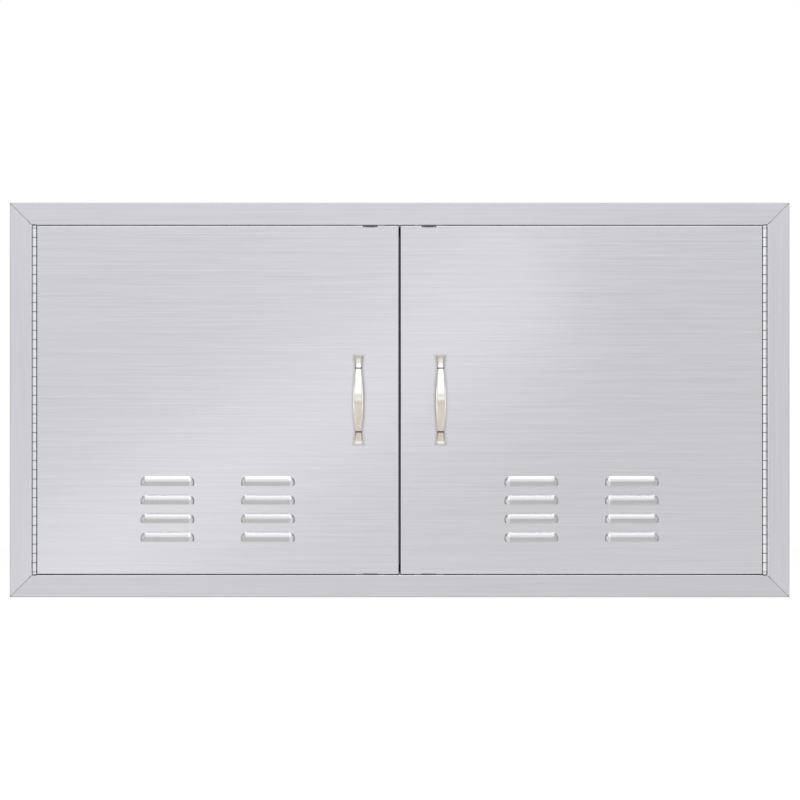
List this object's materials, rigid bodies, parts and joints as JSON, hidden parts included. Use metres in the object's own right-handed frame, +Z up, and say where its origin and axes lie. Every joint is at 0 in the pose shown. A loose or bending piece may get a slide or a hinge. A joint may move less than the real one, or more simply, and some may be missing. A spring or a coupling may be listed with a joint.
{
  "type": "access door",
  "caption": "Access doors for a kitchen island's face: mitred sheet frame, louvred doors on continuous hinges, arched pulls and magnetic catches.",
  "frame": {"origin": "the middle of the sill: the unit's centreline, in the plane of the island's face on which the flange rests, at the underside of the jamb box", "axes": "+X to the right seen from the front, +Y back into the island, +Z up"},
  "size_m": [1.0668, 0.0663, 0.5397],
  "materials": {
    "frame_steel": "brushed along each member",
    "door_steel": "brushed level",
    "hinge_steel": "satin",
    "hidden_steel": "mill finish",
    "handle_metal": "polished",
    "plated_steel": "zinc plated",
    "catch_plastic": "moulded, fine grain",
    "seal_rubber": "extruded, matt",
    "magnet": "sintered ferrite"
  },
  "bodies": {
    "frame": {"frame_top": "frame_steel", "frame_bottom": "frame_steel", "frame_left": "frame_steel", "frame_right": "frame_steel", "corner_gusset_bottom_left": "hidden_steel", "corner_gusset_bottom_right": "hidden_steel", "corner_gusset_top_left": "hidden_steel", "corner_gusset_top_right": "hidden_steel", "hinge_frame_leaf_left": "hinge_steel", "hinge_pin_left": "hinge_steel", "hinge_frame_leaf_right": "hinge_steel", "hinge_pin_right": "hinge_steel", "catch_housing_bottom_left": "catch_plastic", "catch_magnet_bottom_left": "magnet", "catch_poles_bottom_left": "plated_steel", "catch_screws_bottom_left": "plated_steel", "catch_housing_bottom_right": "catch_plastic", "catch_magnet_bottom_right": "magnet", "catch_poles_bottom_right": "plated_steel", "catch_screws_bottom_right": "plated_steel", "catch_housing_top_left": "catch_plastic", "catch_magnet_top_left": "magnet", "catch_poles_top_left": "plated_steel", "catch_screws_top_left": "plated_steel", "catch_housing_top_right": "catch_plastic", "catch_magnet_top_right": "magnet", "catch_poles_top_right": "plated_steel", "catch_screws_top_right": "plated_steel"},
    "door_left": {"door_panel_left": "door_steel", "hinge_door_leaf_left": "hinge_steel", "handle_left": "handle_metal", "handle_stiffener_left": "hidden_steel", "handle_screws_left": "plated_steel", "meeting_seal_left": "seal_rubber", "strike_plate_bottom_left": "plated_steel", "strike_plate_top_left": "plated_steel"},
    "door_right": {"door_panel_right": "door_steel", "hinge_door_leaf_right": "hinge_steel", "handle_right": "handle_metal", "handle_stiffener_right": "hidden_steel", "handle_screws_right": "plated_steel", "meeting_seal_right": "seal_rubber", "strike_plate_bottom_right": "plated_steel", "strike_plate_top_right": "plated_steel"}
  },
  "joints": [
    {"name": "door_left_swing", "type": "hinge", "parent": "frame", "child": "door_left", "pos_m": [-0.49973, -0.00635, 0.24038], "axis": [0, 0, -1], "range_deg": [0, 175]},
    {"name": "door_right_swing", "type": "hinge", "parent": "frame", "child": "door_right", "pos_m": [0.49973, -0.00635, 0.24038], "axis": [0, 0, 1], "range_deg": [0, 175]}
  ]
}
